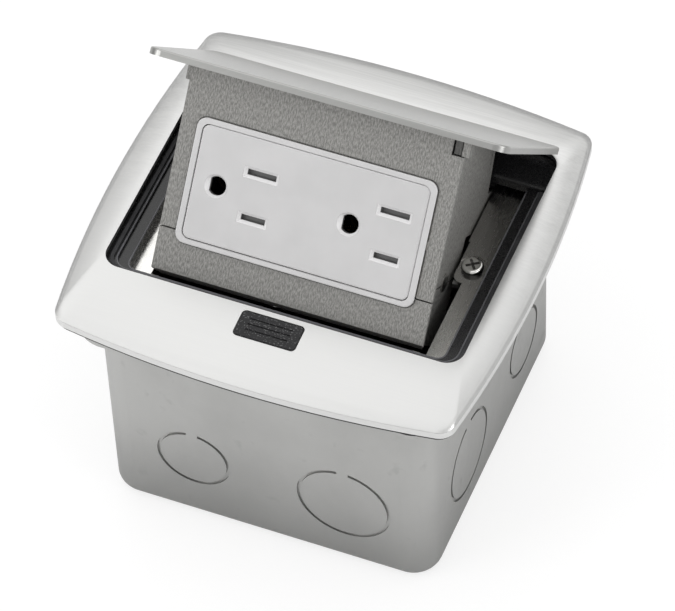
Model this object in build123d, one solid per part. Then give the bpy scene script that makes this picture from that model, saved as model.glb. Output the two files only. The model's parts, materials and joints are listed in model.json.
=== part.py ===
from build123d import *
from math import radians, sin, cos
import os

os.makedirs("parts", exist_ok=True)

# Floor socket box with a pop-up duplex outlet, modelled open as it stands in the photograph.
# Millimetres, +Z up, +Y to the rear (hinge side), origin under the middle of the cover on the box bottom.

# Overall
TOP = 82.7            # height of the cover's opening above the box bottom
OPEN_Y = 4.6          # the opening sits this far behind the cover's middle
COVER_W, COVER_D = 125.0, 121.4
COVER_SAG = 4.6       # bow of each cover side
COVER_R = 4.9
COVER_T = 1.6
COVER_DROP = 2.5      # fall of the domed top from opening to rim
RIM = 2.4             # upright edge below the dome
OPEN_W, OPEN_D, OPEN_R = 105.4, 80.0, 5.2
GASKET_T = 1.2

# Box
BOX_Y = -1.05         # middle of the box, a little in front of the cover's middle
BOX_HALF_TOP, BOX_HALF_BOT, BOX_TOP = 49.4, 49.1, -8.82
BOX_R, BOX_WALL, BOX_FOOT_R = 8.5, 1.6, 4.5
BOX_FLANGE, FLANGE_T = 54.5, 1.5
KO_SMALL, KO_LARGE, KO_GROOVE, KO_DEEP = 22.0, 28.0, 1.0, 0.7
KO_FRONT, KO_SIDE = (-21.7, 23.5, -56.2), (23.8, -19.2, -58.4)

# Pop-up hinge, heights and distances measured from the opening
TILT = 47.5
AXLE_OFF, AXLE_DROP, AXLE_R = 34.1, -20.3, 2.0
RUN_FIT = 0.05        # radial running clearance on the axle
TIGHT_FIT = 0.02

# Lid and module, as they lie when shut
LID_W, LID_T, LID_FRONT, LID_REAR, LID_R = 104.6, 2.0, -39.3, 23.0, 4.2
FACE_START, FACE_LEAN = -34.3, 9.7
FACE_HALF, WALL_HALF, BEVEL_DEEP, SHEET = 40.0, 36.4, 13.0, 1.5
SEAM, FACE_END, SEAM_GAP = 45.6, 58.0, 0.45
STUD_R, STUD_X, STUD_YS = 1.5, 25.0, (-22.0, 3.0)

# Receptacle, measured in the plane of the leaning face
INS_V = 30.9          # centre below the lid
DEV_W, DEV_H, DEV_R, DEV_GAP = 66.2, 32.4, 2.0, 0.6
BEZ_RIM_W, BEZ_RIM_H, BEZ_R = 1.95, 1.75, 2.9
BEZ_W, BEZ_H = DEV_W + 2 * BEZ_RIM_W, DEV_H + 2 * BEZ_RIM_H
OUTLET_GAP, OUTLET_SHIFT = 38.9, -0.8
SLOT_PITCH, GROUND_OFF = 12.7, 11.9
SHUTTER_MOVE = 2.8
TERMINALS = (-17.0, 17.0)

# Inner frame and tray
SEAT_Z, STEP_Z, FRAME_BOT, LEDGE_Z, LEDGE_BOT = -3.2, -4.2, -7.6, -2.2, -5.5
STEP_X, MOUTH_X, LEDGE_Y = 50.1, 46.6, 28.5
TRAY_T, TRAY_HALF = 1.2, 48.8
SCREW_X, SCREW_Y, SCREW_R, HEAD_R = 41.6, -0.6, 2.0, 3.2
CLAMPS = [(-44.4, -48.2), (44.4, -48.2), (-45, 46.4), (45, 46.4)]

# Release button and latch bar
BTN_W, BTN_D, BTN_Y, PRESS, BTN_GAP = 18.0, 8.4, -46.0, 2.0, 0.2
BAR_Z0, BAR_T = -10.8, 1.2
PRONG_X, PRONG_W, NOSE_Y, GUIDE_Y = 38.6, 2.2, -36.0, -47.6


def Z(v):
    return TOP + v


def Y(v):
    return OPEN_Y + v


def block(x0, x1, y0, y1, z0, z1):
    return Pos((x0 + x1) / 2, Y((y0 + y1) / 2), Z((z0 + z1) / 2)) * Box(x1 - x0, y1 - y0, z1 - z0)


def slab(w, d, r, z0, z1, yc=0.0, xc=0.0):
    return Pos(xc, Y(yc), Z(z0)) * extrude(RectangleRounded(w, d, r), z1 - z0)


def slab_y(w, y0, y1, r, z0, z1, xc=0.0):
    return slab(w, y1 - y0, r, z0, z1, (y0 + y1) / 2, xc)


def rod_x(r, x0, x1, y, z):
    return Pos((x0 + x1) / 2, Y(y), Z(z)) * Rot(0, 90, 0) * Cylinder(r, x1 - x0)


def rod_y(r, y0, y1, x, z):
    return Pos(x, Y((y0 + y1) / 2), Z(z)) * Rot(90, 0, 0) * Cylinder(r, y1 - y0)


def rod_z(r, z0, z1, x, y):
    return Pos(x, Y(y), Z((z0 + z1) / 2)) * Cylinder(r, z1 - z0)


def side_shape(points, x0, x1):
    wire = Polyline(*[(x0, Y(y), Z(z)) for y, z in points], close=True)
    return extrude(make_face(wire), x1 - x0, dir=(1, 0, 0))


def pan_head(r, z, x, y, tall):
    head = rod_z(r, z, z + tall, x, y)
    head = fillet(head.edges().sort_by(Axis.Z)[-1], tall * 0.6)
    for turn in (0, 90):
        head -= Pos(x, Y(y), Z(z + tall)) * Rot(0, 0, turn + 35) * Box(r * 1.25, 0.8, 1.6)
    return head


def opened(shape):
    return shape.rotate(Axis((0, Y(AXLE_OFF), Z(AXLE_DROP)), (1, 0, 0)), -TILT)


def one(shape):
    solids = shape.solids()
    return solids[0] if len(solids) == 1 else Compound(solids)


def save(name, shape):
    export_step(one(shape), f"parts/{name}.step")


def bowed(w, d, sag, r, yc, z):
    hx, hy = w / 2, d / 2
    cx, cy = hx - sag, hy - sag
    p = [(-cx, -cy), (cx, -cy), (cx, cy), (-cx, cy)]
    m = [(0, -hy), (hx, 0), (0, hy), (-hx, 0)]
    arcs = [ThreePointArc(p[i], m[i], p[(i + 1) % 4]) for i in range(4)]
    face = make_face(Curve() + arcs)
    face = fillet(face.vertices(), r)
    return Pos(0, yc, Z(z)) * face


def dome(inset, lower):
    sections = []
    for t in (0.0, 0.2, 0.45, 0.72, 1.0):
        w = COVER_W + (OPEN_W - COVER_W) * t - 2 * inset * (1 - t)
        d = COVER_D + (OPEN_D - COVER_D) * t - 2 * inset * (1 - t)
        sag = COVER_SAG + (0.3 - COVER_SAG) * t
        r = COVER_R + (OPEN_R - COVER_R) * t
        sections.append(bowed(w, d, sag, r, OPEN_Y * t, -COVER_DROP * (1 - t) ** 1.8 - lower))
    return loft(sections)


def cover_plate():
    outer = bowed(COVER_W, COVER_D, COVER_SAG, COVER_R, 0, -COVER_DROP - RIM)
    inner = bowed(COVER_W - 2 * COVER_T, COVER_D - 2 * COVER_T, COVER_SAG, COVER_R - 1, 0,
                  -COVER_DROP - RIM - 1)
    body = dome(0, 0) + extrude(outer, RIM)
    body -= dome(COVER_T, COVER_T) + extrude(inner, RIM + 1 - COVER_T + 0.001)
    for x, y in CLAMPS:
        body += rod_z(2.0, -5.1, -1.2, x, y)
    body -= slab(OPEN_W, OPEN_D, OPEN_R, -9, 2)
    body -= slab(BTN_W + 2 * BTN_GAP, BTN_D + 2 * BTN_GAP, 1.4, -4, 2, BTN_Y)
    for x, y in CLAMPS:
        body -= rod_z(1.25, -6, -2.6, x, y)
    return body


def cover_gasket():
    z = -COVER_DROP - RIM - GASKET_T
    ring = extrude(bowed(COVER_W - 1.0, COVER_D - 1.0, COVER_SAG, COVER_R, 0, z), GASKET_T)
    return ring - Pos(0, 0, Z(z - 1)) * extrude(RectangleRounded(COVER_W - 13, COVER_D - 10.9, 9), 4)


def knockout(face, along, drop, dia):
    tube = Cylinder(dia / 2, 40) - Cylinder(dia / 2 - KO_GROOVE, 41)
    tube -= Pos(0, dia / 2, 0) * Box(3.4, 4, 41)
    lean = (BOX_HALF_TOP - BOX_HALF_BOT) / (TOP + BOX_TOP)
    half = BOX_HALF_BOT + lean * (TOP + drop)
    tube = Rot(90, 0, 0) * (Pos(0, 0, 20 - KO_DEEP) * tube)
    tube = Rot(-lean * 57.3, 0, 0) * tube
    tube = Pos(along, -half, Z(drop)) * tube
    return Pos(0, BOX_Y, 0) * Rot(0, 0, face) * tube


def box_shell(grow, floor, top):
    low, high = BOX_HALF_BOT + grow, BOX_HALF_TOP + grow
    a = Pos(0, BOX_Y, floor) * RectangleRounded(2 * low, 2 * low, BOX_R + grow)
    b = Pos(0, BOX_Y, top) * RectangleRounded(2 * high, 2 * high, BOX_R + grow)
    body = loft([a, b])
    return fillet(body.faces().sort_by(Axis.Z)[0].edges(), BOX_FOOT_R + grow)


def floor_box():
    top = Z(BOX_TOP)
    body = box_shell(0, 0, top)
    body += Pos(0, BOX_Y, top - FLANGE_T) * extrude(RectangleRounded(2 * BOX_FLANGE, 2 * BOX_FLANGE, 10), FLANGE_T)
    for x, y in CLAMPS:
        body -= rod_z(1.4, BOX_TOP - 3, BOX_TOP + 1, x, y)
    body -= box_shell(-BOX_WALL, BOX_WALL, top + 0.01)
    for face, small, large, drop in ((0, *KO_FRONT), (90, *KO_SIDE), (180, *KO_FRONT), (270, *KO_SIDE)):
        body -= knockout(face, small, drop, KO_SMALL) + knockout(face, large, drop, KO_LARGE)
    for x, y in ((-30, -30), (30, -30), (30, 30), (-30, 30)):
        body -= Pos(x, BOX_Y + y, 0) * Cylinder(2.4, 10)
    return body


def mounting_ears():
    room = box_shell(-BOX_WALL - TIGHT_FIT, BOX_WALL, Z(BOX_TOP))
    out = []
    for s in (-1, 1):
        x0, x1 = sorted((s * 37.8, s * 52))
        ear = block(x0, x1, SCREW_Y - 6, SCREW_Y + 6, -10.6, -9.0)
        w0, w1 = sorted((s * (BOX_HALF_TOP - BOX_WALL - 1.8), s * 52))
        ear += block(w0, w1, SCREW_Y - 6, SCREW_Y + 6, -26, -9.0)
        ear = ear & room
        out.append(ear - rod_z(SCREW_R + TIGHT_FIT, -12, -8, s * SCREW_X, SCREW_Y))
    return out[0] + out[1]


def ground_screw():
    body = Pos(0, 32, BOX_WALL + 0.02) * Cylinder(5, 3, align=(Align.CENTER, Align.CENTER, Align.MIN))
    return body + Pos(0, 32, BOX_WALL + 3) * Cylinder(3.4, 2.6, align=(Align.CENTER, Align.CENTER, Align.MIN))


# Inner frame, tray and their fixings
def inner_frame():
    body = slab_y(110, -55.0, 50.2, 12, FRAME_BOT, -5.1)
    body += slab_y(107.6, -41.5, 41.4, 7.5, -5.2, -2.05)
    body -= slab_y(OPEN_W + 0.2, -40.1, 40.1, OPEN_R, SEAT_Z, 2)
    body += block(-OPEN_W / 2 + 0.1, OPEN_W / 2 - 0.1, LEDGE_Y + 1, 39.9, -6, LEDGE_Z)
    body -= slab_y(2 * STEP_X, -37.2, 34, 4.0, STEP_Z, LEDGE_BOT + 2.5)
    body -= slab_y(2 * MOUTH_X, -36.0, 34, 2.5, -9, SEAT_Z)
    body -= slab_y(2 * MOUTH_X, -37.4, 31, 2.5, -9, LEDGE_BOT)
    ledge = block(-STEP_X - 2, STEP_X + 2, LEDGE_Y, 39, LEDGE_BOT, LEDGE_Z)
    ledge = fillet(ledge.edges().filter_by(Axis.X).sort_by(lambda e: e.center().Y - e.center().Z)[0], 1.1)
    body += ledge
    body -= slab(13.2, 6.2, 1, -9, -4, BTN_Y) + slab_y(BTN_W + 3.4, -51.9, -41.6, 1.4, -6, -3)
    for s in (-1, 1):
        x0, x1 = sorted((s * (PRONG_X - 1.6), s * (PRONG_X + 1.6)))
        body -= block(x0, x1, -42.8, -35.5, -9, -4.9)
    for x, y in CLAMPS:
        body -= rod_z(1.4, -9, -4, x, y) + rod_z(2.2, -5.1, 0, x, y)
    return body


def lid_seal():
    seal = slab_y(103.8, -39.0, 60, 5.2, SEAT_Z, -2.35) - slab_y(101.8, -38.0, 62, 4.2, -5, 0)
    return seal - block(-60, 60, 27.5, 80, -6, 2)


def mounting_tray():
    z0, z1 = FRAME_BOT - TRAY_T, FRAME_BOT
    body = slab_y(2 * TRAY_HALF, -52.6, 49.4, 7, z0, z1)
    body -= slab_y(81.4, -37.4, 8, 2.5, -12, 0)
    body -= block(-37.1, 37.1, -20, 31, -12, 0)
    for s in (-1, 1):
        body += slab_y(8.4, -6.6, 10, 2.6, z0, z1, xc=s * 41.8)
        body -= rod_z(4.3, z1 - 0.35, z1 + 1, s * SCREW_X, SCREW_Y)
        body -= rod_z(SCREW_R + 0.15, -12, 0, s * SCREW_X, SCREW_Y)
        c0, c1 = sorted((s * 37.1, s * 38.3))
        cheek = block(c0, c1, 24.5, 41.6, -27.5, z0 + 0.2)
        cheek = fillet(cheek.edges().filter_by(Axis.X).sort_by(Axis.Z)[:2], 6)
        body += cheek
        body += block(*sorted((s * 28, s * 34)), -52.6, -51.6, -12.0, z0 + 0.2)
        p0, p1 = sorted((s * (PRONG_X - 1.6), s * (PRONG_X + 1.6)))
        body -= block(p0, p1, -42.8, -36.5, -12, 0)
    body -= rod_x(AXLE_R + TIGHT_FIT, -45, 45, AXLE_OFF, AXLE_DROP)
    body -= slab(13.2, 6.2, 1, -12, 0, BTN_Y)
    for x, y in CLAMPS:
        body -= rod_z(1.4, -12, 0, x, y)
    return body


def tray_screws():
    out = []
    for s in (-1, 1):
        x, base = s * SCREW_X, FRAME_BOT - 0.35
        out.append(pan_head(HEAD_R, base, x, SCREW_Y, 2.1) + rod_z(SCREW_R, -22, base + 0.3, x, SCREW_Y))
    return Compound(out)


def clamp_screws():
    out = []
    for x, y in CLAMPS:
        z0 = FRAME_BOT - TRAY_T if y < 0 else BOX_TOP - FLANGE_T - 0.02
        out.append(rod_z(2.4, z0 - 1.5, z0, x, y) + rod_z(1.25, z0 - 0.5, -3.2, x, y))
    return Compound(out)


def hinge_axle():
    axle = rod_x(AXLE_R, -40.6, 40.6, AXLE_OFF, AXLE_DROP)
    for s in (-1, 1):
        x0, x1 = sorted((s * 38.5, s * 39.3))
        axle -= rod_x(3, x0, x1, AXLE_OFF, AXLE_DROP) - rod_x(1.5, x0 - 1, x1 + 1, AXLE_OFF, AXLE_DROP)
    return chamfer(axle.faces().filter_by(Axis.X).sort_by(Axis.X)[0].edges()
                   + axle.faces().filter_by(Axis.X).sort_by(Axis.X)[-1].edges(), 0.4)


def axle_clips():
    out = []
    for s in (-1, 1):
        x0, x1 = sorted((s * 38.52, s * 39.28))
        clip = rod_x(3.6, x0, x1, AXLE_OFF, AXLE_DROP) - rod_x(1.52, x0 - 1, x1 + 1, AXLE_OFF, AXLE_DROP)
        out.append(clip - block(x0 - 1, x1 + 1, AXLE_OFF - 0.9, AXLE_OFF + 0.9, -30, AXLE_DROP - 1))
    return Compound(out)


def torsion_springs():
    out = []
    for s in (-1, 1):
        x0, x1 = sorted((s * 27.0, s * 33.6))
        coil = rod_x(4.3, x0, x1, AXLE_OFF, AXLE_DROP) - rod_x(2.7, x0 - 1, x1 + 1, AXLE_OFF, AXLE_DROP)
        coil += rod_y(0.6, AXLE_OFF, AXLE_OFF + 7.6, s * 27.8, AXLE_DROP - 3.6)
        out.append(coil)
    return Compound(out)


def stop_pads():
    return Compound([block(*sorted((s * 33.9, s * 36.6)), 29.5, 30.95, -8.8, FRAME_BOT) for s in (-1, 1)])


# Release button and latch bar
def latch_button():
    body = slab(BTN_W, BTN_D, 1.2, -3.1, 0.1, BTN_Y)
    body = fillet(body.faces().sort_by(Axis.Z)[-1].edges(), 0.3)
    body += slab_y(BTN_W + 2.2, BTN_Y - BTN_D / 2 - 1.1, BTN_Y + BTN_D / 2, 1.2, -3.6, -3.0)
    for dy in (-1.9, 0.0, 1.9):
        body -= Pos(0, Y(BTN_Y + dy), Z(0.1)) * Box(12.4, 0.45, 0.7)
    stem = side_shape([(BTN_Y + 2.5, -2.8), (BTN_Y + 2.5, -12.3), (BTN_Y + 0.5, -12.3), (BTN_Y + 0.5, -10.8),
                       (BTN_Y - 2.5, -7.8), (BTN_Y - 2.5, -2.8)], -6, 6)
    return body + stem


def button_springs():
    out = []
    for s in (-1, 1):
        out.append(rod_z(1.5, -5.98, -3.62, s * 8.3, BTN_Y) - rod_z(0.9, -7, -2, s * 8.3, BTN_Y))
    return Compound(out)


def latch_bar():
    z0, z1 = BAR_Z0, BAR_Z0 + BAR_T
    body = block(-39.3, 39.3, -50.0, -43.0, z0, z1)
    body += block(-9.4, 9.4, BTN_Y, BTN_Y + 4.0 + PRESS, z0, z1)
    body -= block(-6.4, 6.4, BTN_Y - 0.8, BTN_Y + 2.7 + PRESS, -12, -8)
    for s in (-1, 1):
        body -= block(*sorted((s * 27.6, s * 34.4)), -51, -47.2, -12, -8)
        body -= slab(3.3, 3.3 + PRESS, 1.6, -12, -8, GUIDE_Y + PRESS / 2, s * 22)
        x0, x1 = sorted((s * (PRONG_X - PRONG_W / 2), s * (PRONG_X + PRONG_W / 2)))
        body += block(x0, x1, -44, -38.2, z0, z1) + block(x0, x1, -40.4, -38.2, z0, -5.2)
        nose = side_shape([(-39, -5.2), (NOSE_Y + 0.9, -5.2), (NOSE_Y, -5.9), (NOSE_Y, -6.6), (-39, -6.6)], x0, x1)
        body += nose
    return body


def bar_guides():
    out = []
    for s in (-1, 1):
        pin = rod_z(1.5, BAR_Z0 - 0.1, FRAME_BOT - TRAY_T, s * 22, GUIDE_Y)
        out.append(pin + rod_z(2.9, BAR_Z0 - 1.1, BAR_Z0 - 0.1, s * 22, GUIDE_Y))
    return Compound(out)


def latch_springs():
    out = []
    for s in (-1, 1):
        out.append(rod_y(1.2, -51.55, -47.25, s * 31, -10.2) - rod_y(0.7, -53, -46, s * 31, -10.2))
    return Compound(out)


# Pop-up module: everything below is built shut and then tipped open about the axle
def face_plane(v=0.0, u=0.0):
    a = radians(FACE_LEAN)
    y, z = FACE_START + v * sin(a), -LID_T - v * cos(a)
    return Plane(origin=(u, Y(y), Z(z)), x_dir=(1, 0, 0), z_dir=(0, -cos(a), -sin(a)))


def plate(w, h, r, n0, n1, v=INS_V, u=0.0):
    return face_plane(v, u) * Pos(0, 0, n0) * extrude(RectangleRounded(w, h, r), n1 - n0)


def brick(u0, u1, w0, w1, n0, n1, v=INS_V):
    return face_plane(v) * Pos((u0 + u1) / 2, (w0 + w1) / 2, (n0 + n1) / 2) * Box(u1 - u0, w1 - w0, n1 - n0)


def stub(r, n0, n1, u, w, v=INS_V):
    return face_plane(v) * Pos(u, w, (n0 + n1) / 2) * Cylinder(r, n1 - n0)


def bezel_groove():
    w, h, r = BEZ_W + 0.7, BEZ_H + 0.7, BEZ_R + 0.35
    return plate(w, h, r, -0.7, 1) - plate(BEZ_W - 1, BEZ_H - 1, BEZ_R - 0.5, -2, 3)


def taper_prism(inset):
    h, g = FACE_HALF - inset, WALL_HALF - inset
    d0, d1 = inset + (1.2 if inset == 0 else 0.8), BEVEL_DEEP + (0 if inset == 0 else 0.5)
    half = [(h, inset), (h, d0), (g, d1), (g, 90)]
    pts = half + [(-x, d) for x, d in reversed(half)]
    a = radians(FACE_LEAN)
    base = Plane(origin=(0, Y(FACE_START), Z(-LID_T)), x_dir=(1, 0, 0), z_dir=(0, -sin(a), cos(a)))
    face = make_face(Polyline(*[(x, d, 0) for x, d in pts], close=True))
    return extrude(base * face, 12) + extrude(base * face, -75)


def on_face(v, deep=0.0):
    a = radians(FACE_LEAN)
    return FACE_START + v * sin(a) + deep * cos(a), -LID_T - v * cos(a) + deep * sin(a)


def module_housing():
    under = -LID_T
    profile = [(FACE_START, under), on_face(SEAM), on_face(SEAM, 33), (5.5, -30), (AXLE_OFF - 1, -25.2),
               (AXLE_OFF + 1, -25.2), (AXLE_OFF + 1, -15.4), (AXLE_OFF - 1, -15.4), (17.5, -17.6),
               (13.6, -6.8), (12.6, under)]
    body = side_shape(profile, -45, 45) & taper_prism(0)
    body += rod_x(5.0, -WALL_HALF, WALL_HALF, AXLE_OFF, AXLE_DROP)
    body -= taper_prism(SHEET) & block(-60, 60, -80, 80, -80, under - SHEET)
    body -= plate(BEZ_W - 1.7, BEZ_H - 1.7, BEZ_R - 0.6, -3, 2) + bezel_groove()
    body -= brick(36.4, 40.6, -4.6, 0.01, -2.4, 2, v=0)
    body += brick(36.9, 38.9, -4.2, 0, -2.6, -0.5, v=0)
    for s in (-1, 1):
        body += brick(*sorted((s * 39.2, s * 41.2)), -4.3, 0, -3.6, -0.2, v=0)
        body -= brick(*sorted((s * 38.4, s * 42)), -7.2, 0.01, -4.4, -3.5, v=0)
        body -= side_shape([(10.0, -5.0), (10.8, -5.0), (12.2, -9.4), (11.4, -9.4)], *sorted((s * 34, s * 38)))
        body -= rod_x(AXLE_R + RUN_FIT, -50, 50, AXLE_OFF, AXLE_DROP)
        body -= rod_x(1.6, *sorted((s * 30, s * 40)), -6.0, -42.6)
        body -= stub(1.25, -3, -0.45, s * 35.4, 0)
        for y in STUD_YS:
            body -= rod_z(STUD_R + 0.15, -6, 0, s * STUD_X, y)
    body -= slab_y(36, -20, 4, 3, -6, 0) + block(-60, 60, -60, 60, under, 2)
    return body


def pop_up_lid():
    body = slab_y(LID_W, LID_FRONT, LID_REAR, LID_R, -LID_T, 0)
    body = fillet(body.faces().sort_by(Axis.Z)[-1].edges(), 0.5)
    for s in (-1, 1):
        for y in STUD_YS:
            body += rod_z(STUD_R, -7.2, -1.5, s * STUD_X, y)
    return body


def lid_nuts():
    out = []
    for s in (-1, 1):
        for y in STUD_YS:
            z = -LID_T - SHEET
            nut = Pos(s * STUD_X, Y(y), Z(z - 2.4)) * extrude(RegularPolygon(3.1, 6), 2.4)
            out.append(nut - rod_z(STUD_R + 0.01, -9, 0, s * STUD_X, y))
    return Compound(out)


def wiring_cover():
    g = SEAM_GAP
    low_y, low_z = on_face(FACE_END)
    profile = [on_face(SEAM + g), on_face(FACE_END), (low_y + 6, low_z - 1.6), (5.5, low_z - 1.6),
               on_face(SEAM + g, 33)]
    body = side_shape(profile, -45, 45) & taper_prism(0)
    inner = [on_face(SEAM - 3, SHEET), on_face(FACE_END - 1.0, SHEET), (low_y + 6.2, low_z + 0.1),
             (4.0, low_z + 0.1), (4.0, -30), (-10, -30)]
    body -= side_shape(inner, -45, 45) & taper_prism(SHEET)
    body -= plate(BEZ_W - 1.7, BEZ_H - 1.5, BEZ_R - 0.6, -3, 2) + bezel_groove()
    body -= rod_z(8, -70, -50, 0, -8)
    for s in (-1, 1):
        x0, x1 = sorted((s * 33.4, s * 34.85))
        body += block(x0, x1, -11, -1, low_z - 1, -39.4)
        body -= rod_x(1.26, *sorted((s * 30, s * 40)), -6.0, -42.6)
    return body


def cover_screws():
    out = []
    for s in (-1, 1):
        head = rod_x(2.6, *sorted((s * 36.42, s * 36.95)), -6.0, -42.6)
        out.append(head + rod_x(1.25, *sorted((s * 32.6, s * 36.6)), -6.0, -42.6))
    return Compound(out)


def outlet_spots():
    for k in (-1, 1):
        yield OUTLET_SHIFT + k * OUTLET_GAP / 2


def receptacle_bezel():
    ring = plate(BEZ_W, BEZ_H, BEZ_R, 0.02, 1.0)
    ring = fillet(ring.faces().sort_by(lambda f: f.center().Y)[0].edges(), 0.4)
    ring += plate(BEZ_W - 1.9, BEZ_H - 1.9, BEZ_R - 0.7, -1.5, 0.1)
    return ring - plate(DEV_W + DEV_GAP, DEV_H + DEV_GAP, DEV_R + DEV_GAP / 2, -3, 3)


def funnel(mouth, throat, u, w):
    at = face_plane(INS_V)
    return loft([at * Pos(u, w, -0.25) * throat, at * Pos(u, w, 0.86) * mouth])


def receptacle_face():
    body = plate(DEV_W, DEV_H, DEV_R, -1.55, 0.85)
    body = fillet(body.faces().sort_by(lambda f: f.center().Y)[0].edges(), 0.5)
    for m in outlet_spots():
        for s, long in ((1, 8.4), (-1, 7.0)):
            u, w = m + GROUND_OFF / 2, s * SLOT_PITCH / 2
            body -= funnel(Rectangle(long + 1.9, 3.3), Rectangle(long, 1.6), u, w)
            body -= brick(u - long / 2, u + long / 2, w - 0.8, w + 0.8, -4, 2)
        g = m - GROUND_OFF / 2
        body -= stub(2.7, -4, 2, g - 0.1, 0) & brick(g - 2.1, g + 4, -4, 4, -4, 2)
        mouth = Circle(3.4) & Pos(0.6, 0) * Rectangle(8.4, 8)
        throat = Circle(2.7) & Pos(2.1, 0) * Rectangle(8.2, 8)
        body -= funnel(mouth, throat, g - 0.1, 0)
    return body


def receptacle_body():
    body = brick(-32, 32, -14.6, 14.6, -24, -1.58)
    body = fillet(body.edges().filter_by(Axis((0, 0, 0), tuple(face_plane().z_dir))), 2.0)
    body -= brick(-30.4, 30.4, -13.0, 13.0, -22.4, 0)
    for m in outlet_spots():
        body += brick(m - 1.6, m - 0.7, -13.2, 13.2, -6.0, -1.58)
    for s in (-1, 1):
        body += brick(-5, 5, *sorted((s * 3.4, s * 9.4)), -22.5, -17.0)
    for s in (-1, 1):
        for u in TERMINALS:
            a, b = sorted((s * 12.0, s * 15.0))
            body -= face_plane(INS_V) * Pos(u, (a + b) / 2, -13) * Rot(90, 0, 0) * Cylinder(1.6, b - a)
    return body


def shutter(m):
    u = m + GROUND_OFF / 2
    body = brick(u - 6.0, u + 5.4, -9.6, 9.6, -3.0, -1.75)
    for s, long in ((1, 8.4), (-1, 7.0)):
        w = s * SLOT_PITCH / 2 - SHUTTER_MOVE
        body -= brick(u - long / 2 - 0.3, u + long / 2 + 0.3, w - 1.1, w + 1.1, -6, 0)
    return body


def shutter_spring(m):
    u = m + GROUND_OFF / 2
    return face_plane(INS_V) * Pos(u, 11.28, -2.4) * Rot(90, 0, 0) * Cylinder(0.55, 3.2)


def blade_contacts(s):
    w = s * SLOT_PITCH / 2
    body = brick(-28.6, 28.6, w - 2.2, w + 2.2, -17.0, -16.2)
    for m in outlet_spots():
        u = m + GROUND_OFF / 2
        for side in (-1, 1):
            a, b = sorted((w + side * 0.95, w + side * 1.55))
            body += brick(u - 3.2, u + 3.2, a, b, -16.4, -5.0)
    return body


def ground_contact():
    body = brick(-28.6, 28.6, -2.6, 2.6, -22.4, -21.4)
    for m in outlet_spots():
        g = m - GROUND_OFF / 2
        body += stub(3.0, -21.6, -10.0, g, 0) - stub(2.45, -21.4, -6, g, 0)
    return body


def receptacle_strap():
    body = brick(-33.25, 33.25, -8, 8, -25.3, -24.05)
    for s in (-1, 1):
        body += brick(*sorted((s * 32.05, s * 33.25)), -8, 8, -25.3, -1.6)
        body += brick(*sorted((s * 32.05, s * 37.3)), -8, 8, -2.8, -1.6)
        body -= stub(1.3, -4, 0, s * 35.4, 0)
    return body


def receptacle_screws():
    return Compound([stub(2.0, -4.2, -2.82, s * 35.4, 0) + stub(1.25, -3.4, -0.5, s * 35.4, 0)
                     for s in (-1, 1)])


def terminal_screws(s):
    out = []
    for u in TERMINALS:
        for w0, w1, r in ((14.62, 16.6, 3.3), (13.2, 14.8, 1.6)):
            a, b = sorted((s * w0, s * w1))
            out.append(face_plane(INS_V) * Pos(u, (a + b) / 2, -13) * Rot(90, 0, 0) * Cylinder(r, b - a))
    return Compound([out[0] + out[1], out[2] + out[3]])


FIXED = dict(floor_box=floor_box, mounting_ears=mounting_ears, ground_screw=ground_screw,
             cover_gasket=cover_gasket, cover_plate=cover_plate, inner_frame=inner_frame, lid_seal=lid_seal,
             mounting_tray=mounting_tray, tray_screws=tray_screws, clamp_screws=clamp_screws,
             hinge_axle=hinge_axle, axle_clips=axle_clips, torsion_springs=torsion_springs,
             stop_pads=stop_pads, latch_button=latch_button, button_springs=button_springs,
             latch_bar=latch_bar, bar_guides=bar_guides, latch_springs=latch_springs)
TIPPED = dict(pop_up_lid=pop_up_lid, lid_nuts=lid_nuts, module_housing=module_housing,
              wiring_cover=wiring_cover, cover_screws=cover_screws, receptacle_bezel=receptacle_bezel,
              receptacle_face=receptacle_face, receptacle_body=receptacle_body,
              receptacle_strap=receptacle_strap, receptacle_screws=receptacle_screws,
              ground_contact=ground_contact)

for name, make in FIXED.items():
    save(name, make())
for name, make in TIPPED.items():
    save(name, opened(make()))
for name, m in zip(("left", "right"), outlet_spots()):
    save(f"shutter_{name}", opened(shutter(m)))
    save(f"shutter_spring_{name}", opened(shutter_spring(m)))
for name, s in (("neutral", 1), ("hot", -1)):
    save(f"{name}_contacts", opened(blade_contacts(s)))
    save(f"{name}_terminal_screws", opened(terminal_screws(s)))
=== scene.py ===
import json
from math import cos, pi, radians, sin

import bpy
import numpy as np
from bpy.props import FloatProperty, FloatVectorProperty, IntProperty, PointerProperty
from mathutils import Matrix, Vector


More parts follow.
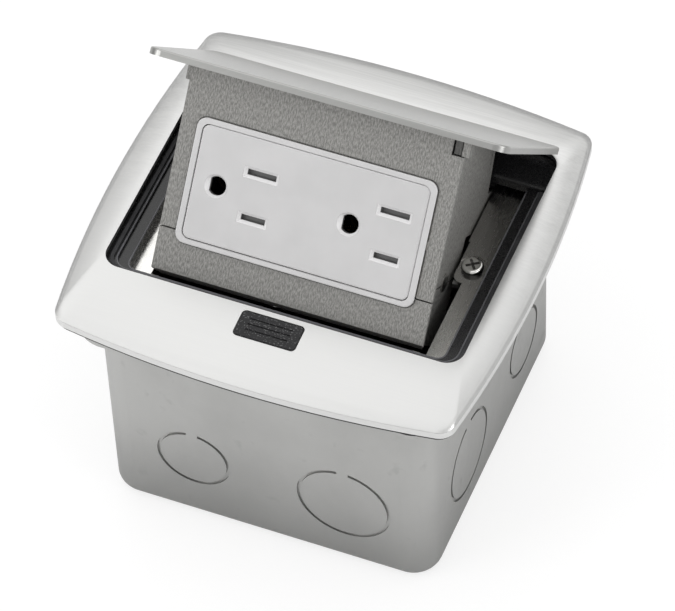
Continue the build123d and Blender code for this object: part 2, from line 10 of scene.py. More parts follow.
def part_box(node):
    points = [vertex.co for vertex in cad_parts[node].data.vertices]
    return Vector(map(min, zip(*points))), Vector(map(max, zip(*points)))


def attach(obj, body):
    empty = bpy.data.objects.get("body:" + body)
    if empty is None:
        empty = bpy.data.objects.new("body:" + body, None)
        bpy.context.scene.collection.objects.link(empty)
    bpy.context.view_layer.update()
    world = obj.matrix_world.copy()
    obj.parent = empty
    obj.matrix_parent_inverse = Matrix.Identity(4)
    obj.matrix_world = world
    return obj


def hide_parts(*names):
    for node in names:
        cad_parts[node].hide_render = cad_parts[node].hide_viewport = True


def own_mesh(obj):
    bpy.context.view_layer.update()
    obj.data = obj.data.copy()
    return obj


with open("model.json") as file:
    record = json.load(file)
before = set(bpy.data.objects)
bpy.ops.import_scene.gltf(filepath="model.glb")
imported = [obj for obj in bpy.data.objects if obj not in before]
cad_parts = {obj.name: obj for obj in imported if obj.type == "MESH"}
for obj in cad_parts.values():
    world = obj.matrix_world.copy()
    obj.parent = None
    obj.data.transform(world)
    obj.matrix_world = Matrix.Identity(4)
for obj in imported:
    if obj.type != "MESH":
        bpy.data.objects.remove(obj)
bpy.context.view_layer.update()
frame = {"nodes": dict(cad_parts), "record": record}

bl_info = {
    "name": "Floor Socket Box",
    "version": (1, 0, 0),
    "blender": (4, 5, 0),
    "location": "View3D > Sidebar > Socket",
    "description": "Dresses a pop-up floor socket box and sets its studio",
    "category": "Add Mesh",
}

NODES = frame["nodes"]
BODIES = frame["record"]["behaviour"]["bodies"]

# Lengths are in metres and places are in the part's frame, with the pop-up unit open. A pair of places is
# a band over which a shade comes up.
TILT = radians(47.5)            # how far the lid stands open
LEAN = radians(37.8)            # how far the outlet face leans back
AXLE_Y, AXLE_Z = 0.0387, 0.0624
LID_ABOVE_AXLE = 0.0203
LID_UP = (0.0, sin(TILT), cos(TILT))
LID_TOP = AXLE_Y * LID_UP[1] + AXLE_Z * LID_UP[2] + LID_ABOVE_AXLE
# The lid's edges, just below its top, get a painted shade: their colour is darker there.
LID_EDGE_PAINTED_SHADE = (LID_UP, LID_TOP - 0.0006, LID_TOP - 0.0002, 0.66)

FACE_OUT, FACE_UP = (0.0, -cos(LEAN), sin(LEAN)), (0.0, sin(LEAN), cos(LEAN))
FACE_LEVEL = 0.07200            # where the housing's face lies along FACE_OUT
OUTLET_PROUD, BEZEL_PROUD = 0.00085, 0.0010
# Bands of painted highlight on an outlet's edges and slot mouths, and of painted shade deeper in.
FRONT_EDGE_HIGHLIGHT, SLOT_DEPTH_SHADE = (-0.00016, -0.00004), (-0.00140, -0.00105)     # from an outlet piece's front
# Bands of the latch window's painted shade.
WINDOW_LEFT, WINDOW_RIGHT, WINDOW_FOOT = (0.0363, 0.0364), (0.0392, 0.0394), (0.0979, 0.0981)
WINDOW_FLOOR = (FACE_LEVEL - 0.00045, FACE_LEVEL - 0.0002)

COVER_STREAKS = (-0.035, 0.040)
COVER_ROLL = (0.0802, 0.0007, 0.0002, 0.0007)   # height of the edge, reach above and below it, and fall
# The box's colour darkens toward the floor: a painted shade.
BOX_FOOT_PAINTED_SHADE = (-0.01, 0.045)
# Painted shade: the tray's colour darkens toward its right rear, standing in for a dark reflection.
TRAY_PAINTED_SHADE = ((-0.6, -0.8, 0.0), -0.035, 0.002, 0.48)
# Painted shade: the colour of the tray screws darkens in the cross of their heads.
SCREW_CROSS_PAINTED_SHADE = ((0, 0, 1), 0.0760, 0.0766, 0.12)

EDGE_R = 0.00030                # radius of the moulded frame's edges
RAIL_REAR = 0.0325
# Half width, front, corner radius and level of the frame's two edges
FRAME_EDGES = [(0.0503, -0.0328, 0.0042, 0.0793), (0.0468, -0.0316, 0.0027, 0.0783)]

HINGE_SPRING_X = (0.0336, 0.0278)
HINGE_SPRING_R, HINGE_SPRING_TURNS, HINGE_SPRING_LEG = 0.0036, 4.75, 0.0075
BUTTON_Y = -0.0414
BUTTON_SPRING_X, BUTTON_SPRING_Z, BUTTON_SPRING_R = 0.0083, (0.07690, 0.07890), 0.00120
LATCH_SPRING_X, LATCH_SPRING_Y = 0.031, (-0.04678, -0.04282)
LATCH_SPRING_Z, LATCH_SPRING_R = 0.0725, 0.00095
SHUTTER_SPRING_HALF, SHUTTER_SPRING_R, SHUTTER_WIRE = 0.00145, 0.00040, 0.00022

CAMERA_PLACE, CAMERA_TARGET = Vector((0.3771, -0.8316, 1.1649)), Vector((0.01426, -0.02693, 0.0827))
CAMERA_ROLL = radians(-2.955)
FLOOR_HALF, FLOOR_LEVEL = 6.0, -0.0001
# Name, place, target, size and power
LAMPS = [("overhead", (-0.25, 0.25, 1.5), (0, 0, 0.08), (2.2, 2.2), 9),
         ("front_left", (-1.3, -1.2, 0.9), (0, 0, 0.06), (1.0, 1.2), 9),
         ("right", (1.5, -0.3, 0.8), (0, 0, 0.08), (1.0, 1.0), 6)]
SKY = [(0.0, (0.55, 0.55, 0.55)), (0.5, (0.30, 0.30, 0.30)), (0.74, (0.84, 0.84, 0.835)),
       (1.0, (0.42, 0.42, 0.42))]


# ---------------------------------------------------------------- sizes and colours

def colour(name, description, default):
    return FloatVectorProperty(name=name, description=description, default=default, size=3,
                               subtype="COLOR", min=0.0, max=1.0)


class SocketSizes(bpy.types.PropertyGroup):
    wire: FloatProperty(name="Spring wire", description="Diameter of the small springs' wire",
                        default=0.00034, unit="LENGTH", precision=5)
    torsion_wire: FloatProperty(name="Hinge spring wire", description="Diameter of the hinge springs' wire",
                                default=0.0011, unit="LENGTH", precision=5)
    brush_pitch: FloatProperty(name="Brush pitch", description="Distance between the cover's brush lines",
                               default=0.00045, unit="LENGTH", precision=5)
    grain: FloatProperty(name="Moulded grain", description="Size of the button's moulded grain",
                         default=0.00035, unit="LENGTH", precision=5)
    lens: FloatProperty(name="Lens", description="Focal length of the camera in millimetres", default=274.2)
    turns: IntProperty(name="Spring turns", description="Turns of each small spring", default=5, min=2)


class SocketColours(bpy.types.PropertyGroup):
    cover: colour("Cover", "Satin steel of the cover", (0.88, 0.88, 0.87))
    lid: colour("Lid", "Satin steel of the pop-up lid", (0.59, 0.59, 0.575))
    box: colour("Box", "Sheet steel of the box", (0.49, 0.49, 0.48))
    tray: colour("Tray", "Zinc plated tray", (0.97, 0.95, 0.92))
    housing: colour("Housing", "Textured grey of the pop-up housing", (0.285, 0.281, 0.268))
    plastic: colour("Outlet plastic", "Light grey outlet plastic", (0.625, 0.62, 0.622))
    black: colour("Black trim", "Black inner frame and button", (0.012, 0.012, 0.013))


# ---------------------------------------------------------------- shader maths

class Value:
    """A shader socket that works in sums: each operator adds one Math node."""

    def __init__(self, board, socket):
        self.board, self.socket = board, socket

    def math(self, operation, *terms, **settings):
        inputs = dict(enumerate(terms))
        return self.board.node("ShaderNodeMath", dict(operation=operation, **settings), inputs)[0]

    def __add__(self, other):
        return self.math("ADD", self, other)

    def __radd__(self, other):
        return self.math("ADD", other, self)

    def __sub__(self, other):
        return self.math("SUBTRACT", self, other)

    def __rsub__(self, other):
        return self.math("SUBTRACT", other, self)

    def __mul__(self, other):
        return self.math("MULTIPLY", self, other)

    def __truediv__(self, other):
        return self.math("DIVIDE", self, other)

    def most(self, other):
        return self.math("MAXIMUM", self, other)

    def clamped(self):
        return self.math("ADD", self, 0.0, use_clamp=True)

    def between(self, low, high):
        """0 below low, 1 above high, smooth in between."""
        return self.board.node("ShaderNodeMapRange", {"interpolation_type": "SMOOTHSTEP"},
                               {0: self, 1: low, 2: high, 3: 0.0, 4: 1.0})[0]


class Board:
    """The node tree of one material, with one method that adds any node."""

    def __init__(self, tree):
        self.tree = tree
        tree.nodes.clear()

    def node(self, kind, settings=None, inputs=None):
        made = self.tree.nodes.new(kind)
        for key, value in (settings or {}).items():
            if key == "stops":
                ramp = made.color_ramp
                while len(ramp.elements) < len(value):
                    ramp.elements.new(0.5)
                for element, (place, shade) in zip(ramp.elements, value):
                    element.position, element.color = place, (*shade, 1.0)
            else:
                setattr(made, key, value)
        for key, value in (inputs or {}).items():
            if isinstance(value, Value):
                self.tree.links.new(value.socket, made.inputs[key])
            else:
                made.inputs[key].default_value = value
        return [Value(self, out) for out in made.outputs]

    def place(self, turn=(0, 0, 0), scale=(1, 1, 1)):
        """Object coordinates, turned first and then scaled along the turned axes."""
        point = self.node("ShaderNodeTexCoord")[3]
        if any(turn):
            point = self.node("ShaderNodeMapping", None, {"Vector": point, "Rotation": turn})[0]
        return self.node("ShaderNodeVectorMath", {"operation": "MULTIPLY"}, {0: point, 1: scale})[0]

    def along(self, direction):
        """How far the point lies along a direction of the part's frame, in metres."""
        point = self.node("ShaderNodeTexCoord")[3]
        return self.node("ShaderNodeVectorMath", {"operation": "DOT_PRODUCT"}, {0: point, 1: direction})[1]

    def noise(self, point, scale=1.0, detail=3.0, rough=0.55):
        return self.node("ShaderNodeTexNoise", None,
                         {"Vector": point, "Scale": scale, "Detail": detail, "Roughness": rough})[0]

    def mix(self, factor, a, b):
        rgb = [v if isinstance(v, Value) else (*v, 1.0) for v in (a, b)]
        return self.node("ShaderNodeMix", {"data_type": "RGBA"}, {0: factor, 6: rgb[0], 7: rgb[1]})[2]

    def shaded(self, socket, base, shade):
        """The colour, with a painted shade (another tone of base) up to a band along a direction. shade gives
        the direction, the band's two places and the tone."""
        direction, low, high, factor = shade
        return self.mix(self.along(direction).between(low, high), scaled(base, factor), socket)

    def bump(self, height, distance, under=None):
        inputs = {"Height": height, "Distance": distance, "Strength": 1.0}
        if under is not None:
            inputs["Normal"] = under
        return self.node("ShaderNodeBump", None, inputs)[0]

    def surface(self, **inputs):
        names = {"base": "Base Color", "metal": "Metallic", "rough": "Roughness", "normal": "Normal",
                 "spec": "Specular IOR Level"}
        given = {}
        for key, value in inputs.items():
            if key == "base" and not isinstance(value, Value):
                value = (*value, 1.0)
            given[names[key]] = value
        shader = self.node("ShaderNodeBsdfPrincipled", None, given)[0]
        self.node("ShaderNodeOutputMaterial", None, {"Surface": shader})


def new_material(name):
    material = bpy.data.materials.new(name)
    material.use_nodes = True
    return material, Board(material.node_tree)


def scaled(rgb, factor):
    return tuple(min(1.0, c * factor) for c in rgb)


def brushed_steel(name, base, rough, along, pitch, depth, turn=(0, 0, 0), tone=0.10, fade=None,
                  shoulder=None, shade=None):
    """Satin metal. Streaks are noise stretched along one axis, and clouds of it shift the tone. fade gives
    the two places along y between which the streaks come up. shoulder gives the height of an outer edge, the
    reach above and below it over which the surface looks rolled, and the fall: the bump falls with the
    square of the nearness to the edge. shade is as in Board.shaded."""
    material, b = new_material(name)
    stretch = [1.0 / pitch] * 3
    stretch["xyz".index(along)] = 0.02 / pitch
    hair = b.noise(b.place(turn, stretch), 1.0, 4.0, 0.6)
    broad = b.noise(b.place(turn, [s * 0.22 for s in stretch]), 1.0, 2.0, 0.5)
    cloud = b.noise(b.place(scale=(24, 24, 24)), 1.0, 3.0, 0.5)
    lines = hair * 0.6 + broad * 0.4
    strength = b.along((0, 1, 0)).between(*fade) * 0.85 + 0.15 if fade else 1.0
    mark = (lines - 0.5) * strength * 1.6 + 0.5
    base_socket = b.mix((mark * (tone * 4) + cloud * 0.2 - tone).clamped(),
                        scaled(base, 1.0 - tone), scaled(base, 1.04))
    if shade:
        base_socket = b.shaded(base_socket, base, shade)
    rolled = None
    if shoulder:
        edge, above, below, drop = shoulder
        height = b.along((0, 0, 1)) - edge
        near = 1.0 - (height / above).most(height / -below).clamped()
        rolled = b.bump(1.0 - near * near, drop)
    b.surface(base=base_socket, metal=1.0,
              rough=(rough + (lines - 0.5) * 0.16 + (cloud - 0.5) * 0.05).clamped(),
              normal=b.bump(lines, depth, rolled))
    return material


def sheet_steel(name, base, rough=0.40):
    """Drawn sheet metal: satin, with slow clouds, a few soft stains, and a painted shade toward the foot."""
    material, b = new_material(name)
    cloud = b.noise(b.place(scale=(30, 30, 22)), 1.0, 4.0, 0.55)
    stain = b.noise(b.place(scale=(120, 120, 90)), 1.0, 3.0, 0.6).between(0.60, 0.72)
    draw = b.noise(b.place(scale=(700, 700, 30)), 1.0, 2.0, 0.5)
    fine = b.noise(b.place(scale=(1800, 1800, 1800)), 1.0, 2.0, 0.5)
    base_socket = b.mix(cloud.between(0.3, 0.7), scaled(base, 0.93), scaled(base, 1.07))
    base_socket = b.mix(stain * 0.18, base_socket, scaled(base, 0.55))
    # Painted shade: the colour darkens toward the foot.
    base_socket = b.mix((1.0 - b.along((0, 0, 1)).between(*BOX_FOOT_PAINTED_SHADE)) * 0.60, base_socket, scaled(base, 0.45))
    b.surface(base=base_socket, metal=1.0,
              rough=(rough + (cloud - 0.5) * 0.12 + (fine - 0.5) * 0.08 + stain * 0.06).clamped(),
              normal=b.bump(cloud * 14.0 + draw * 0.12 + fine * 0.10, 0.00004))
    return material


def plated(name, base, rough=0.26, blotch=0.16, shade=None):
    """Bright plating with passivation blotches and a few scuffs. shade is as in Board.shaded, such as the
    painted shade in a screw's cross."""
    material, b = new_material(name)
    cloud = b.noise(b.place(scale=(110, 110, 110)), 1.0, 4.0, 0.6)
    scuff = b.noise(b.place(scale=(2400, 300, 700)), 1.0, 2.0, 0.5)
    tone = cloud.between(0.3, 0.7)
    base_socket = b.mix(tone, scaled(base, 1 - blotch), scaled(base, 1 + blotch))
    if shade:
        base_socket = b.shaded(base_socket, base, shade)
    b.surface(base=base_socket, metal=1.0,
              rough=(rough + (scuff - 0.5) * 0.22 + (cloud - 0.5) * 0.12).clamped(),
              normal=b.bump(scuff * 0.4 + cloud * 3.0, 0.000016))
    return material


def cast_grey(name, base, pitch=0.00036, depth=0.00014):
    """Grained paint on a casting: short wrinkles that run up the face, broken by a fine grain. The latch
    window at the face's upper right is painted dark inside, a painted shade in its recess."""
    material, b = new_material(name)
    turn = (LEAN, 0, 0)
    wrinkle = b.noise(b.place(turn, (1 / pitch, 1 / pitch, 0.32 / pitch)), 1.0, 2.0, 0.55)
    fine = b.noise(b.place(turn, (2.6 / pitch, 2.6 / pitch, 1.4 / pitch)), 1.0, 2.0, 0.5)
    cloud = b.noise(b.place(scale=(60, 60, 60)), 1.0, 3.0, 0.5)
    grain = wrinkle * 0.72 + fine * 0.28
    base_socket = b.mix(grain.between(0.37, 0.63), scaled(base, 0.60), scaled(base, 1.24))
    base_socket = b.mix(((cloud - 0.35) * 0.4).clamped(), base_socket, scaled(base, 0.92))
    side, up, out = b.along((1, 0, 0)), b.along(FACE_UP), b.along(FACE_OUT)
    # Painted shade inside the latch window's recess.
    window = side.between(*WINDOW_LEFT) * (1.0 - side.between(*WINDOW_RIGHT)) * up.between(*WINDOW_FOOT)
    window_painted_shade = window * (1.0 - out.between(*WINDOW_FLOOR))
    base_socket = b.mix(window_painted_shade * 0.75, base_socket, scaled(base, 0.12))
    b.surface(base=base_socket, metal=0.15, rough=(0.50 - (grain - 0.5) * 0.16).clamped(), spec=0.5,
              normal=b.bump(grain, depth))
    return material


def moulded(name, base, rough=0.36, grain=0.0003, depth=0.00001, spec=0.5, specks=0.0, bevels=None):
    """Moulded plastic: even colour with a fine grain, and for black trim a dust of pale specks. bevels gives
    the level of a part's front along FACE_OUT: its edges and the mouths of its slots get a painted highlight,
    and what lies deeper gets a painted shade."""
    material, b = new_material(name)
    fine = b.noise(b.place(scale=[1 / grain] * 3), 1.0, 2.0, 0.5)
    slow = b.noise(b.place(scale=(70, 70, 70)), 1.0, 3.0, 0.5)
    base_socket = b.mix(slow.between(0.3, 0.7), scaled(base, 0.96), scaled(base, 1.03))
    if specks:
        dust = b.noise(b.place(scale=[0.8 / grain] * 3), 1.0, 0.0, 0.5).between(0.66, 0.74)
        base_socket = b.mix(dust * specks, base_socket, (0.22, 0.22, 0.22))
    # Painted highlight on the front's edges and slot mouths, painted shade deeper in.
    if bevels:
        out = b.along(FACE_OUT) - bevels
        base_socket = b.mix(out.between(*FRONT_EDGE_HIGHLIGHT), scaled(base, 1.34), base_socket)
        base_socket = b.mix(out.between(*SLOT_DEPTH_SHADE), scaled(base, 0.22), base_socket)
    b.surface(base=base_socket, rough=(rough + (fine - 0.5) * 0.12 + (slow - 0.5) * 0.06).clamped(),
              spec=spec, normal=b.bump(fine, depth))
    return material


def rubber(name, base=(0.020, 0.020, 0.021)):
    """Matt rubber with a dusty cast and a soft grain."""
    material, b = new_material(name)
    dust = b.noise(b.place(scale=(160, 160, 160)), 1.0, 4.0, 0.6)
    grain = b.noise(b.place(scale=(3000, 3000, 3000)), 1.0, 1.0, 0.5)
    b.surface(base=b.mix(dust.between(0.45, 0.8), base, scaled(base, 2.2)),
              rough=(0.68 + (grain - 0.5) * 0.2).clamped(), normal=b.bump(grain, 0.00002))
    return material


# ---------------------------------------------------------------- surfaces

def skin(points, first):
    """Faces of a tube over a grid of points, shape (rings, points in a ring, 3), numbered from first, with
    a cap on each end."""
    rings, count = points.shape[:2]
    ring, here = np.arange(rings - 1)[:, None] * count, np.arange(count)[None, :]
    beside = (here + 1) % count
    faces = np.stack([ring + here, ring + beside, ring + count + beside, ring + count + here], -1)
    caps = [np.arange(count)[::-1], np.arange(count) + (rings - 1) * count]
    return (faces.reshape(-1, 4) + first).tolist() + [(cap + first).tolist() for cap in caps]


def grid_piece(name, grids, body, material, replaces=()):
    """One mesh from a list of tubes, each given as a grid of points."""
    firsts = np.cumsum([0] + [grid.shape[0] * grid.shape[1] for grid in grids])
    faces = [face for grid, first in zip(grids, firsts) for face in skin(grid, int(first))]
    mesh = bpy.data.meshes.new(name)
    mesh.from_pydata(np.vstack([grid.reshape(-1, 3) for grid in grids]), [], faces)
    mesh.shade_smooth()
    piece = bpy.data.objects.new(name, mesh)
    bpy.context.scene.collection.objects.link(piece)
    mesh.materials.append(material)
    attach(piece, body)
    if replaces:
        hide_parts(*replaces)
    return piece


def tube_along(path, radius, sides=10):
    """A round profile carried along a path: each ring stands square to the path, kept from twisting
    by a fixed side vector that is made square to the path's direction."""
    ahead = np.gradient(path, axis=0)
    ahead /= np.linalg.norm(ahead, axis=1)[:, None]
    hint = np.array([0.31, 0.17, 0.93])
    side = hint - ahead * (ahead @ hint)[:, None]
    side /= np.linalg.norm(side, axis=1)[:, None]
    other = np.cross(ahead, side)
    turn = np.linspace(0, 2 * pi, sides, endpoint=False)
    return path[:, None, :] + radius * (np.cos(turn)[None, :, None] * side[:, None, :]
                                        + np.sin(turn)[None, :, None] * other[:, None, :])


def rail(half, front, corner, level, count=14):
    """A U-shaped edge seen from above: up one side, round two quarter circles, and down the other side."""
    arc = np.linspace(0, pi / 2, count)
    side = np.linspace(RAIL_REAR, front + corner, 30)[:-1]
    bend = np.stack([-half + corner - corner * np.cos(arc), front + corner - corner * np.sin(arc)], -1)
    left = np.vstack([np.stack([np.full_like(side, -half), side], -1), bend])
    across = np.linspace(-half + corner, half - corner, 40)[1:-1]
    middle = np.stack([across, np.full_like(across, front)], -1)
    path = np.vstack([left, middle, left[::-1] * (-1, 1)])
    return np.column_stack([path, np.full(len(path), level)])


def body_of(name):
    return next(body for body, names in BODIES.items() if name in names)


def coil(start, end, radius, turns, phase=0.0, count=96):
    """A helix from start to end: the angle grows evenly, and the pitch closes up over the end turns."""
    start, end = np.array(start), np.array(end)
    axis = (end - start) / np.linalg.norm(end - start)
    side = np.cross(axis, [0.0, 0.6, 0.8] if abs(axis[0]) > 0.5 else [1.0, 0.0, 0.0])
    side /= np.linalg.norm(side)
    t = np.linspace(0, 1, count)[:, None]
    angle = 2 * pi * turns * t + phase
    along = t - np.sin(2 * pi * t) / (2 * pi) * 0.45
    around = np.cos(angle) * side + np.sin(angle) * np.cross(axis, side)
    return start + (end - start) * along + radius * around


def wound(name, node, paths, wire, material):
    """The springs of one node, wound from round wire in one mesh that stands for the CAD sleeves."""
    tubes = [tube_along(path, wire / 2) for path in paths]
    return grid_piece(name, tubes, body_of(node), material, replaces=[node])


def dress(names, material):
    """Gives the CAD pieces their finish."""
    for name in names:
        slots = NODES[name].data.materials
        if len(slots):
            slots[0] = material
        else:
            slots.append(material)


class SocketOperator:
    bl_options = {"REGISTER", "UNDO"}

    @property
    def sizes(self):
        return bpy.context.scene.socket_sizes

    @property
    def colours(self):
        return bpy.context.scene.socket_colours


# ---------------------------------------------------------------- pieces

class SOCKET_OT_cover(SocketOperator, bpy.types.Operator):
    """Finish the domed cover plate and the seal under its rim"""
    bl_idname = "socket.cover"
    bl_label = "Cover"

    def execute(self, context):
        c = self.colours
        satin = brushed_steel("cover_satin_steel", c.cover, 0.34, "x", self.sizes.brush_pitch, 0.000020,
                              tone=0.22, fade=COVER_STREAKS, shoulder=COVER_ROLL)
        dress(["cover_plate"], satin)
        dress(["cover_gasket"], rubber("cover_gasket_rubber"))
        return {"FINISHED"}


class SOCKET_OT_box(SocketOperator, bpy.types.Operator):
    """Finish the drawn steel box, its ears and its ground screw"""
    bl_idname = "socket.box"
    bl_label = "Box"

    def execute(self, context):
        c = self.colours
        dress(["floor_box"], sheet_steel("box_sheet_steel", c.box))
        dress(["mounting_ears"], sheet_steel("ear_sheet_steel", scaled(c.box, 1.1), 0.38))
        dress(["ground_screw"], plated("ground_screw_green", (0.03, 0.30, 0.09), 0.35))
        return {"FINISHED"}


class SOCKET_OT_inner_frame(SocketOperator, bpy.types.Operator):
    """Finish the stepped black frame and the lid's seal"""
    bl_idname = "socket.inner_frame"
    bl_label = "Inner frame"

    def execute(self, context):
        c = self.colours
        nylon = moulded("frame_black_nylon", c.black, 0.28, 0.0004, 0.000006, 0.7)
        dress(["inner_frame"], nylon)
        rails = [rail(half, front, corner, level) for half, front, corner, level in FRAME_EDGES]
        tubes = [tube_along(path, EDGE_R) for path in rails]
        # The edges' grey, far lighter than the frame, is a painted highlight.
        edge_highlight = moulded("frame_edge_nylon", scaled(c.black, 10.0), 0.30, 0.0004, 0.000004, 0.8)
        grid_piece("frame_rounded_edges", tubes, "box", edge_highlight)
        dress(["lid_seal"], rubber("lid_seal_rubber", (0.028, 0.028, 0.030)))
        return {"FINISHED"}


class SOCKET_OT_tray(SocketOperator, bpy.types.Operator):
    """Finish the zinc plated tray, its screws and its stop pads"""
    bl_idname = "socket.tray"
    bl_label = "Tray"

    def execute(self, context):
        c = self.colours
        # The tray's darker right rear is a painted shade.
        dress(["mounting_tray"], plated("tray_zinc_plate", c.tray, 0.24, 0.05,
                                       shade=TRAY_PAINTED_SHADE))
        # The dark cross in the tray screws' heads is a painted shade.
        dress(["tray_screws"], plated("tray_screw_plate", (0.93, 0.92, 0.89), 0.18, 0.04,
                                      shade=SCREW_CROSS_PAINTED_SHADE))
        dress(["clamp_screws"], plated("clamp_screw_plate", (0.55, 0.54, 0.52), 0.28))
        dress(["stop_pads"], rubber("stop_pad_rubber"))
        return {"FINISHED"}


class SOCKET_OT_hinge(SocketOperator, bpy.types.Operator):
    """Finish the axle and its clips, and wind the hinge springs"""
    bl_idname = "socket.hinge"
    bl_label = "Hinge"

    def execute(self, context):
        dress(["hinge_axle"], plated("axle_steel", (0.62, 0.62, 0.60), 0.20, 0.06))
        dress(["axle_clips"], plated("clip_black_steel", (0.10, 0.10, 0.10), 0.32, 0.10))
        paths = []
        for side in (-1, 1):
            start, end = (np.array((side * x, AXLE_Y, AXLE_Z)) for x in HINGE_SPRING_X)
            foot = end - (0, 0, HINGE_SPRING_R)
            paths += [coil(start, end, HINGE_SPRING_R, HINGE_SPRING_TURNS, side * 2.2),
                      np.linspace(foot, foot + (0, HINGE_SPRING_LEG, 0), 12)]
        wound("hinge_springs_wound", "torsion_springs", paths, self.sizes.torsion_wire,
              plated("hinge_spring_steel", (0.50, 0.49, 0.47), 0.25, 0.08))
        return {"FINISHED"}


class SOCKET_OT_latch(SocketOperator, bpy.types.Operator):
    """Finish the release button, the latch bar and their springs"""
    bl_idname = "socket.latch"
    bl_label = "Latch"

    def execute(self, context):
        c = self.colours
        dress(["latch_button"], moulded("button_black_grain", scaled(c.black, 1.1), 0.55, self.sizes.grain,
                                        0.00006, 0.45, specks=0.5))
        dress(["latch_bar"], plated("latch_bar_zinc", (0.55, 0.54, 0.50), 0.28))
        dress(["bar_guides"], plated("guide_rivet_steel", (0.60, 0.60, 0.58), 0.25))
        turns, wire = self.sizes.turns, self.sizes.wire
        steel = plated("button_spring_steel", (0.62, 0.61, 0.59), 0.22, 0.06)
        low, high = BUTTON_SPRING_Z
        button = [coil((x, BUTTON_Y, low), (x, BUTTON_Y, high), BUTTON_SPRING_R, turns)
                  for x in (-BUTTON_SPRING_X, BUTTON_SPRING_X)]
        piece = wound("button_springs_wound", "button_springs", button, wire, steel)
        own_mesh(piece)
        front, rear = LATCH_SPRING_Y
        latch = [coil((x, front, LATCH_SPRING_Z), (x, rear, LATCH_SPRING_Z), LATCH_SPRING_R, turns + 2)
                 for x in (-LATCH_SPRING_X, LATCH_SPRING_X)]
        piece = wound("latch_springs_wound", "latch_springs", latch, wire,
                      plated("latch_spring_steel", (0.62, 0.61, 0.59), 0.22, 0.06))
        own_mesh(piece)
        return {"FINISHED"}


class SOCKET_OT_lid(SocketOperator, bpy.types.Operator):
    """Finish the satin lid and its nuts"""
    bl_idname = "socket.lid"
    bl_label = "Lid"

    def execute(self, context):
        c = self.colours
        # The lid's edge band is a painted shade.
        dress(["pop_up_lid"], brushed_steel("lid_satin_steel", c.lid, 0.30, "x", self.sizes.brush_pitch,
                                            0.000024, turn=(LEAN, 0, 0), tone=0.26,
                                            shade=LID_EDGE_PAINTED_SHADE))
        dress(["lid_nuts"], plated("lid_nut_plate", (0.60, 0.58, 0.52), 0.28))
        return {"FINISHED"}


class SOCKET_OT_module(SocketOperator, bpy.types.Operator):
    """Finish the die-cast pop-up housing and its wiring cover"""
    bl_idname = "socket.module"
    bl_label = "Pop-up housing"

    def execute(self, context):
        grey = self.colours.housing
        dress(["module_housing"], cast_grey("housing_cast_grey", grey))
        dress(["wiring_cover"], cast_grey("wiring_cover_cast_grey", grey))
        dress(["cover_screws"], plated("cover_screw_plate", (0.50, 0.50, 0.48), 0.30))
        return {"FINISHED"}


class SOCKET_OT_receptacle(SocketOperator, bpy.types.Operator):
    """Finish the two-outlet receptacle, its shutters, contacts and screws"""
    bl_idname = "socket.receptacle"
    bl_label = "Receptacle"

    def execute(self, context):
        light = self.colours.plastic
        dress(["receptacle_face"], moulded("outlet_face_plastic", light, 0.32, 0.0005, 0.000004,
                                           bevels=FACE_LEVEL + OUTLET_PROUD))
        dress(["receptacle_bezel"], moulded("outlet_bezel_plastic", scaled(light, 1.02), 0.30, 0.0005,
                                            0.000004, bevels=FACE_LEVEL + BEZEL_PROUD))
        dress(["receptacle_body"], moulded("outlet_body_plastic", (0.05, 0.05, 0.05), 0.45))
        dress(["shutter_left", "shutter_right"], moulded("shutter_grey_plastic", (0.16, 0.16, 0.16), 0.40))
        dress(["receptacle_strap"], plated("strap_zinc_plate", (0.60, 0.58, 0.50), 0.28))
        dress(["receptacle_screws"], plated("strap_screw_plate", (0.62, 0.61, 0.58), 0.26))
        steel = plated("shutter_spring_steel", (0.6, 0.6, 0.58), 0.25)
        for name in ("shutter_spring_left", "shutter_spring_right"):
            low, high = (np.array(corner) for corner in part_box(name))
            middle, reach, along = (low + high) / 2, SHUTTER_SPRING_HALF * np.array(FACE_UP), FACE_UP
            path = coil(middle - reach, middle + reach, SHUTTER_SPRING_R, self.sizes.turns + 2, count=120)
            piece = wound(name + "_wound", name, [path], SHUTTER_WIRE, steel)
            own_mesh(piece)
        brass = plated("contact_brass", (0.72, 0.50, 0.20), 0.28)
        dress(["neutral_contacts", "hot_contacts"], brass)
        dress(["ground_contact"], plated("ground_contact_tarnished", (0.05, 0.036, 0.018), 0.42))
        dress(["hot_terminal_screws"], plated("terminal_brass", (0.74, 0.52, 0.22), 0.24))
        dress(["neutral_terminal_screws"], plated("terminal_silver", (0.66, 0.66, 0.64), 0.24))
        return {"FINISHED"}


# ---------------------------------------------------------------- stage

def lamp(name, place, target, size, power):
    """A square soft light that faces its target."""
    data = bpy.data.lights.new(name, "AREA")
    data.shape, data.size, data.size_y, data.energy = "RECTANGLE", size[0], size[1], power
    made = bpy.data.objects.new(name, data)
    bpy.context.scene.collection.objects.link(made)
    made.location = place
    made.rotation_mode = "QUATERNION"
    made.rotation_quaternion = (Vector(target) - Vector(place)).to_track_quat("-Z", "Y")


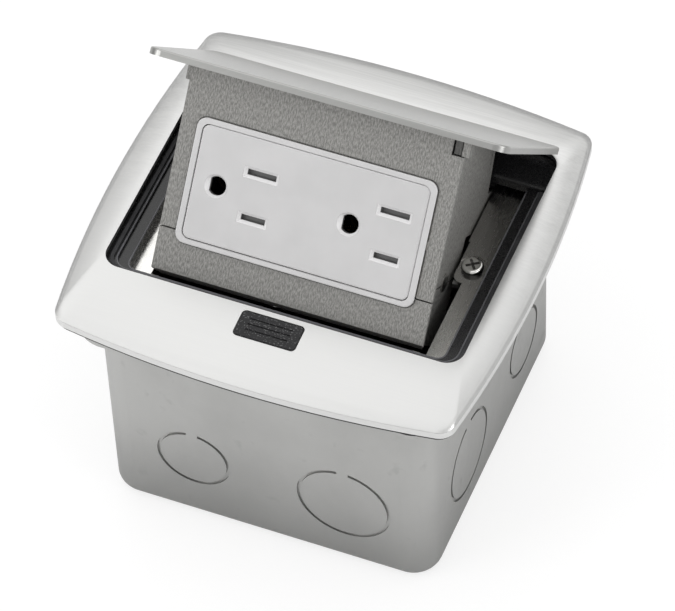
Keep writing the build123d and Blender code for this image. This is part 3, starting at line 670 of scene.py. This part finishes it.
class SOCKET_OT_stage(SocketOperator, bpy.types.Operator):
    """Set the pale floor, the soft lights and the camera"""
    bl_idname = "socket.stage"
    bl_label = "Stage"

    def execute(self, context):
        scene = context.scene
        scene.view_settings.view_transform = "Standard"
        self.camera(scene)
        self.floor(scene)
        self.world(scene)
        for settings in LAMPS:
            lamp(*settings)
        return {"FINISHED"}

    def camera(self, scene):
        data = bpy.data.cameras.new("camera")
        data.lens, data.sensor_width = self.sizes.lens, 36.0
        data.clip_start, data.clip_end = 0.05, 50
        made = bpy.data.objects.new("camera", data)
        scene.collection.objects.link(made)
        back = (CAMERA_PLACE - CAMERA_TARGET).normalized()
        right = (-back).cross(Vector((0, 0, 1))).normalized()
        up = right.cross(-back)
        roll = Matrix.Rotation(CAMERA_ROLL, 3, back)
        right, up = roll @ right, roll @ up
        turn = Matrix((right, up, back)).transposed().to_4x4()
        made.matrix_world = Matrix.Translation(CAMERA_PLACE) @ turn
        scene.camera = made

    def floor(self, scene):
        mesh = bpy.data.meshes.new("floor")
        signs = ((-1, -1), (1, -1), (1, 1), (-1, 1))
        corners = [(x * FLOOR_HALF, y * FLOOR_HALF, FLOOR_LEVEL) for x, y in signs]
        mesh.from_pydata(corners, [], [(0, 1, 2, 3)])
        made = bpy.data.objects.new("floor", mesh)
        scene.collection.objects.link(made)
        material, b = new_material("studio_floor")
        seen = b.node("ShaderNodeLightPath")[0]
        lit = b.node("ShaderNodeBsdfPrincipled", None,
                     {"Base Color": (0.93, 0.93, 0.93, 1), "Roughness": 0.28, "Specular IOR Level": 0.35})[0]
        glow = b.node("ShaderNodeEmission", None, {"Color": (1, 1, 1, 1), "Strength": 1.12})[0]
        both = b.node("ShaderNodeMixShader", None, {0: seen * 0.65, 1: lit, 2: glow})[0]
        b.node("ShaderNodeOutputMaterial", None, {"Surface": both})
        mesh.materials.append(material)

    def world(self, scene):
        world = bpy.data.worlds.new("studio")
        world.use_nodes = True
        b = Board(world.node_tree)
        path = b.node("ShaderNodeLightPath")
        seen, glossy, through = path[0], path[3], path[6]
        direction = b.node("ShaderNodeTexCoord")[0]
        height = b.node("ShaderNodeSeparateXYZ", None, {0: direction})[2]
        sky = b.node("ShaderNodeValToRGB", {"stops": SKY}, {0: height * 0.5 + 0.5})[0]
        soft = b.mix(glossy.most(through), (0.62, 0.62, 0.62), sky)
        final = b.mix(seen, soft, (1.0, 1.0, 1.0))
        back = b.node("ShaderNodeBackground", None, {"Color": final, "Strength": 1.0})[0]
        b.node("ShaderNodeOutputWorld", None, {"Surface": back})
        scene.world = world


class SOCKET_PT_panel(bpy.types.Panel):
    bl_idname = "SOCKET_PT_panel"
    bl_label = "Floor Socket Box"
    bl_space_type = "VIEW_3D"
    bl_region_type = "UI"
    bl_category = "Socket"

    def draw(self, context):
        layout = self.layout
        for group in (context.scene.socket_sizes, context.scene.socket_colours):
            column = layout.column()
            for name in group.__annotations__:
                column.prop(group, name)
        for operator in OPERATORS:
            layout.operator(operator.bl_idname)


OPERATORS = [SOCKET_OT_stage, SOCKET_OT_cover, SOCKET_OT_box, SOCKET_OT_inner_frame, SOCKET_OT_tray,
             SOCKET_OT_hinge, SOCKET_OT_latch, SOCKET_OT_lid, SOCKET_OT_module, SOCKET_OT_receptacle]
CLASSES = [SocketSizes, SocketColours, *OPERATORS, SOCKET_PT_panel]


def register():
    for cls in CLASSES:
        bpy.utils.register_class(cls)
    bpy.types.Scene.socket_sizes = PointerProperty(type=SocketSizes)
    bpy.types.Scene.socket_colours = PointerProperty(type=SocketColours)


def unregister():
    del bpy.types.Scene.socket_colours
    del bpy.types.Scene.socket_sizes
    for cls in reversed(CLASSES):
        bpy.utils.unregister_class(cls)


def main():
    register()
    bpy.ops.socket.stage()
    bpy.ops.socket.cover()
    bpy.ops.socket.box()
    bpy.ops.socket.inner_frame()
    bpy.ops.socket.tray()
    bpy.ops.socket.hinge()
    bpy.ops.socket.latch()
    bpy.ops.socket.lid()
    bpy.ops.socket.module()
    bpy.ops.socket.receptacle()


if __name__ == "__main__":
    main()
